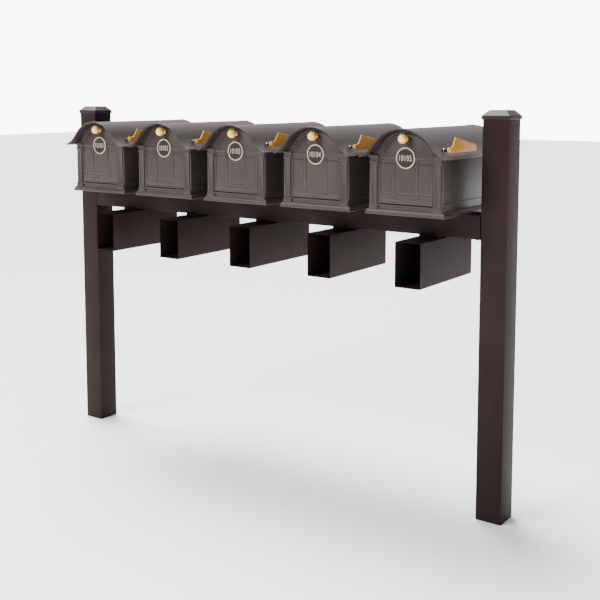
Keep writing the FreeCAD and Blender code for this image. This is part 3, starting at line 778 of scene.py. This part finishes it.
flagShape = {
    "hub": 0.010, "toe": 0.006, "tipRise": 0.008, "tipBack": 0.014, "tipDrop": 0.029,
    "neck": 0.028, "lean": 0.019, "shoulder": 0.013, "edge": 0.0011,
}


def makeFlag(n):
    f = flagShape
    low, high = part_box(f"flag_{n}")
    hub = f["hub"]
    centreY = low.y + hub
    centreZ = low.z + hub
    reach = high.y - centreY
    tall = high.z - centreZ
    top = f["neck"] + f["lean"]
    toe = f["toe"]
    points = [
        (0, -hub), (reach - toe, -hub), (reach - toe * 0.3, -hub + toe * 0.3), (reach, -hub + toe),
        (reach, f["tipRise"]), (reach - 0.003, f["tipRise"] + 0.0035),
        (reach - f["tipBack"], tall - f["tipDrop"]),
        (top + 0.004, tall - 0.0007), (top + 0.0012, tall), (top - 0.0006, tall - 0.0022),
        (f["neck"] + 0.0016, f["shoulder"] + 0.005), (f["neck"] - 0.001, f["shoulder"] + 0.001),
        (f["neck"] - 0.006, f["shoulder"] - 0.0012), (hub, hub),
    ]
    points += arcPoints((0, 0), hub, math.pi / 2, math.pi * 1.5, 16)[:-1]
    bm = bmesh.new()
    verts = [bm.verts.new((low.x, centreY + along, centreZ + rise)) for along, rise in points]
    drawOut(bm, [bm.faces.new(verts)], (high.x - low.x, 0, 0))
    rims = [e for e in bm.edges if abs(e.verts[0].co.x - e.verts[1].co.x) < 1e-6]
    soften(bm, f["edge"], 3, rims)
    return makePiece(f"signalFlag{n}", [bm], f"flag_{n}", gold, [f"flag_{n}"])


pivotShape = {
    "reach": 0.0375, "shank": 0.003, "collar": 0.0050, "collarLength": 0.0165,
    "head": 0.006, "headHeight": 0.003, "washer": 0.0014,
}


def makePivots():
    s = pivotShape
    shank, collar, head = s["shank"], s["collar"], s["head"]
    heads = []
    collars = []
    washers = []
    for n in boxNumbers:
        flagLow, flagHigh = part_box(f"flag_{n}")
        centre = (0, flagLow.y + flagShape["hub"], flagLow.z + flagShape["hub"])
        inner = flagLow.x - 0.0006
        outer = flagHigh.x + 0.0003
        start = inner - s["collarLength"]
        heads.append(turned([
            (0, inner - 0.0005), (shank, inner - 0.0005), (shank, outer), (head, outer),
            (head, outer + 0.0012), (head - 0.0006, outer + 0.0022), (head - 0.0022, outer + 0.0029),
            (0, outer + s["headHeight"])], centre, "X", 32))
        collars.append(turned([
            (0, inner - s["reach"]), (shank, inner - s["reach"]), (shank, start), (collar - 0.0004, start),
            (collar, start + 0.0006), (collar, inner - 0.001), (collar - 0.0004, inner), (0, inner)],
            centre, "X", 28))
        washers.append(turned([
            (collar, start - 0.0004), (head - 0.0004, start - 0.0004), (head, start),
            (head, start + s["washer"] - 0.0004), (head - 0.0004, start + s["washer"]),
            (collar, start + s["washer"]), (collar, start - 0.0004)], centre, "X", 32))
    makePiece("flagPivots", heads, "stand", brass, ["flag_pivot_screws"])
    makePiece("flagCollars", collars, "stand", darkBronze)
    makePiece("flagWashers", washers, "stand", pinSteel)


# newspaper tubes

tubeShape = {"wall": 0.0025, "corner": 0.0022, "pad": 0.010, "padWidth": 0.080, "padDepth": 0.090}


def makeTube(n):
    low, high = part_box(f"newspaper_tube_{n}")
    s = tubeShape
    wall = s["wall"]
    length = high.y - low.y
    top = high.z - s["pad"]
    layers = [(wall, length - wall), (wall, 0.0006), (wall - 0.0005, 0), (0.0005, 0),
              (0, 0.0006), (0, length - 0.0006), (0.0006, length)]
    shell = layered(low, (high.x, high.y, top), layers, s["corner"], "Y")
    middle = (low.x + high.x) / 2
    beamLow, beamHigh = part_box("crossbeam")
    beamMiddle = (beamLow.y + beamHigh.y) / 2
    pad = block((middle - s["padWidth"] / 2, beamMiddle - s["padDepth"] / 2, top - 0.001),
                (middle + s["padWidth"] / 2, beamMiddle + s["padDepth"] / 2, high.z), 0.0012, 2)
    replaced = [f"newspaper_tube_{n}"]
    return makePiece(f"paperTube{n}", [shell, pad], "stand", darkBronze, replaced)


for n in boxNumbers:
    makeHousing(n)
    makeBase(n)
    makeSurround(n)
    makeDoor(n)
    makeKnob(n)
    makePlaque(n)
    makeFlag(n)
    makeTube(n)
makePivots()
print("flags and tubes made")


# CAD pieces that keep their shape get their finishes

keptFinishes = {
    "rear_panel_": bronze, "left_beam_bracket": darkBronze, "right_beam_bracket": darkBronze,
    "mounting_plates": plateBlack, "pan_head_screws": darkBronze, "door_hinge_pins": pinSteel,
    "door_magnets": darkSteel,
}
for nodeName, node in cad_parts.items():
    for prefix, finish in keptFinishes.items():
        if nodeName.startswith(prefix):
            if not node.material_slots:
                node.data.materials.append(finish)
            for slot in node.material_slots:
                slot.material = finish


# floor, light and camera

studio = {
    "floorSize": 60.0, "frontWorld": 0.22, "backWorld": 0.75, "topWorld": 0.5, "seenWorld": 9.0,
    "sun": 9.2, "sunSpread": 34.0, "sunFrom": (-0.48, 0.22, 1.0),
    "key": 560.0, "keyFrom": (-2.2, -5.0, 4.8), "keySize": 3.4,
}


def makeFloor():
    bm = bmesh.new()
    bmesh.ops.create_grid(bm, x_segments=4, y_segments=4, size=studio["floorSize"] / 2)
    mesh = bpy.data.meshes.new("studioFloor")
    bm.to_mesh(mesh)
    bm.free()
    floor = bpy.data.objects.new("studioFloor", mesh)
    bpy.context.scene.collection.objects.link(floor)
    floor.data.materials.append(paleFloor("studioFloor"))


def placeLight(name, kind, place, target, power):
    lamp = bpy.data.lights.new(name, kind)
    lamp.energy = power
    light = bpy.data.objects.new(name, lamp)
    light.location = place
    light.rotation_euler = (Vector(target) - Vector(place)).to_track_quat("-Z", "Y").to_euler()
    bpy.context.scene.collection.objects.link(light)
    return lamp


def makeWorld():
    # a dark room in front, a pale wall behind and overhead
    sky = Paint(bpy.data.worlds.new("studioWorld"))
    direction = sky.node("ShaderNodeTexCoord", output="Generated")
    split = sky.node("ShaderNodeSeparateXYZ", {}, {0: direction})
    backward = Wire(sky, split.socket.node.outputs["Y"])
    upward = Wire(sky, split.socket.node.outputs["Z"])
    behind = sky.node("ShaderNodeMapRange", {"interpolation_type": "SMOOTHSTEP"},
                      {"Value": backward, "From Min": 0.3, "From Max": 0.98, "To Max": studio["backWorld"]})
    above = sky.node("ShaderNodeMapRange", {"interpolation_type": "SMOOTHSTEP"},
                     {"Value": upward, "From Min": 0.0, "From Max": 0.9, "To Max": studio["topWorld"]})
    lit = behind + above + studio["frontWorld"]
    seen = sky.node("ShaderNodeLightPath", output="Is Camera Ray")
    strength = seen * (studio["seenWorld"] - lit) + lit
    back = sky.node("ShaderNodeBackground", {}, {"Color": (1, 1, 1, 1), "Strength": strength})
    output = sky.tree.nodes.new("ShaderNodeOutputWorld")
    sky.tree.links.new(back.socket, output.inputs["Surface"])
    bpy.context.scene.world = sky.holder


cameraView = {
    "place": (2.4842, -3.3346, 1.5696), "turn": 35.12, "tilt": 5.952, "focus": 985.4, "shift": (0.0, -0.17),
}


def makeCamera():
    data = bpy.data.cameras.new("camera")
    data.sensor_width = 36.0
    data.lens = 36.0 * cameraView["focus"] / 600.0
    data.shift_x, data.shift_y = cameraView["shift"]
    data.clip_end = 200.0
    camera = bpy.data.objects.new("camera", data)
    camera.location = cameraView["place"]
    camera.rotation_euler = (math.radians(90 - cameraView["tilt"]), 0, math.radians(cameraView["turn"]))
    bpy.context.scene.collection.objects.link(camera)
    bpy.context.scene.camera = camera


makeFloor()
makeWorld()
sun = placeLight("sun", "SUN", studio["sunFrom"], (0, 0, 0), studio["sun"])
sun.angle = math.radians(studio["sunSpread"])
key = placeLight("key", "AREA", studio["keyFrom"], (0, 0, 1.1), studio["key"])
key.size = studio["keySize"]
makeCamera()
print("studio made")
